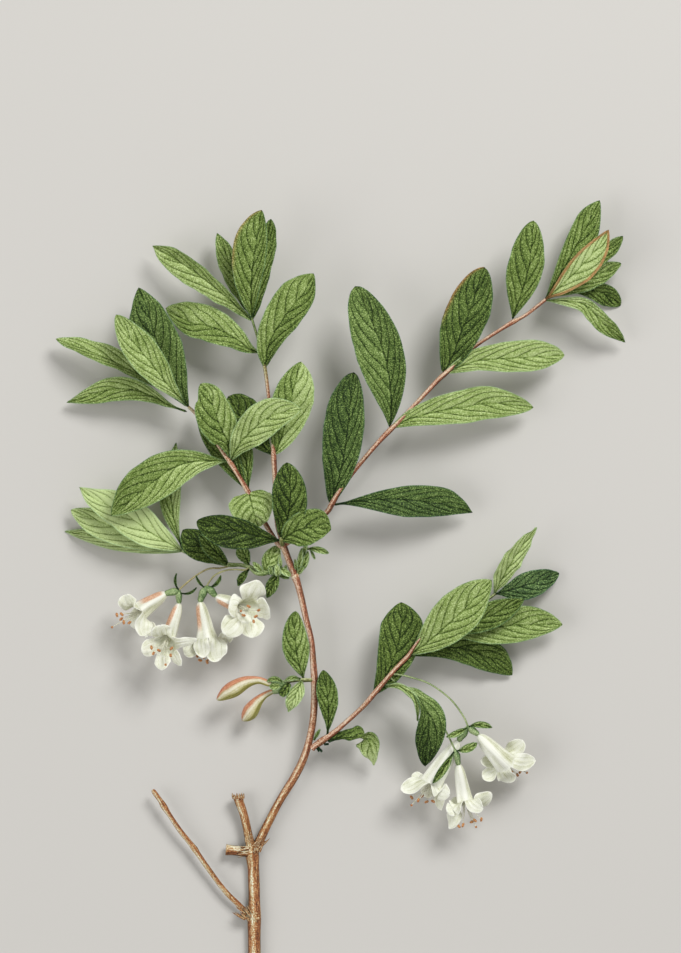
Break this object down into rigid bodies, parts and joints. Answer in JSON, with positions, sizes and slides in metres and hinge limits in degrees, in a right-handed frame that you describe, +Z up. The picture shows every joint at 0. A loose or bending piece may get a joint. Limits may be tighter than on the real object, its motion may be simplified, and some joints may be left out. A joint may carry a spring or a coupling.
{
  "type": "cut flowering honeysuckle branch",
  "caption": "Cut woody honeysuckle branch lying flat, with paired leaves, nodding white funnel flowers and closed buds.",
  "frame": {"origin": "centre of the bounding box on the surface that the branch lies on", "axes": "+Y from the trunk's cut end towards the shoot tips, +X to the right shoot, +Z up from the surface"},
  "size_m": [0.2062, 0.2746, 0.0276],
  "materials": {
    "bark": "matte",
    "leaf": "satin",
    "dark_leaf": "satin",
    "stalk": "satin",
    "petal": "satin",
    "bud": "satin"
  },
  "bodies": {
    "root": {"woody_stem": "bark", "top_left_shoot": "leaf", "left_shoot": "leaf", "flower_spur": "leaf", "crown_leaves": "dark_leaf", "right_shoot": "leaf", "right_spur": "leaf", "bud_spur": "leaf", "lower_right_shoot": "leaf", "flower_stalk_left_1": "stalk", "flower_stalk_left_2": "stalk", "flower_stalk_right_1": "stalk", "flower_stalk_right_2": "stalk", "flower_1": "petal", "flower_2": "petal", "flower_3": "petal", "flower_4": "petal", "flower_5": "petal", "flower_6": "petal", "flower_7": "petal", "bud_1": "bud", "bud_2": "bud"}
  },
  "joints": []
}
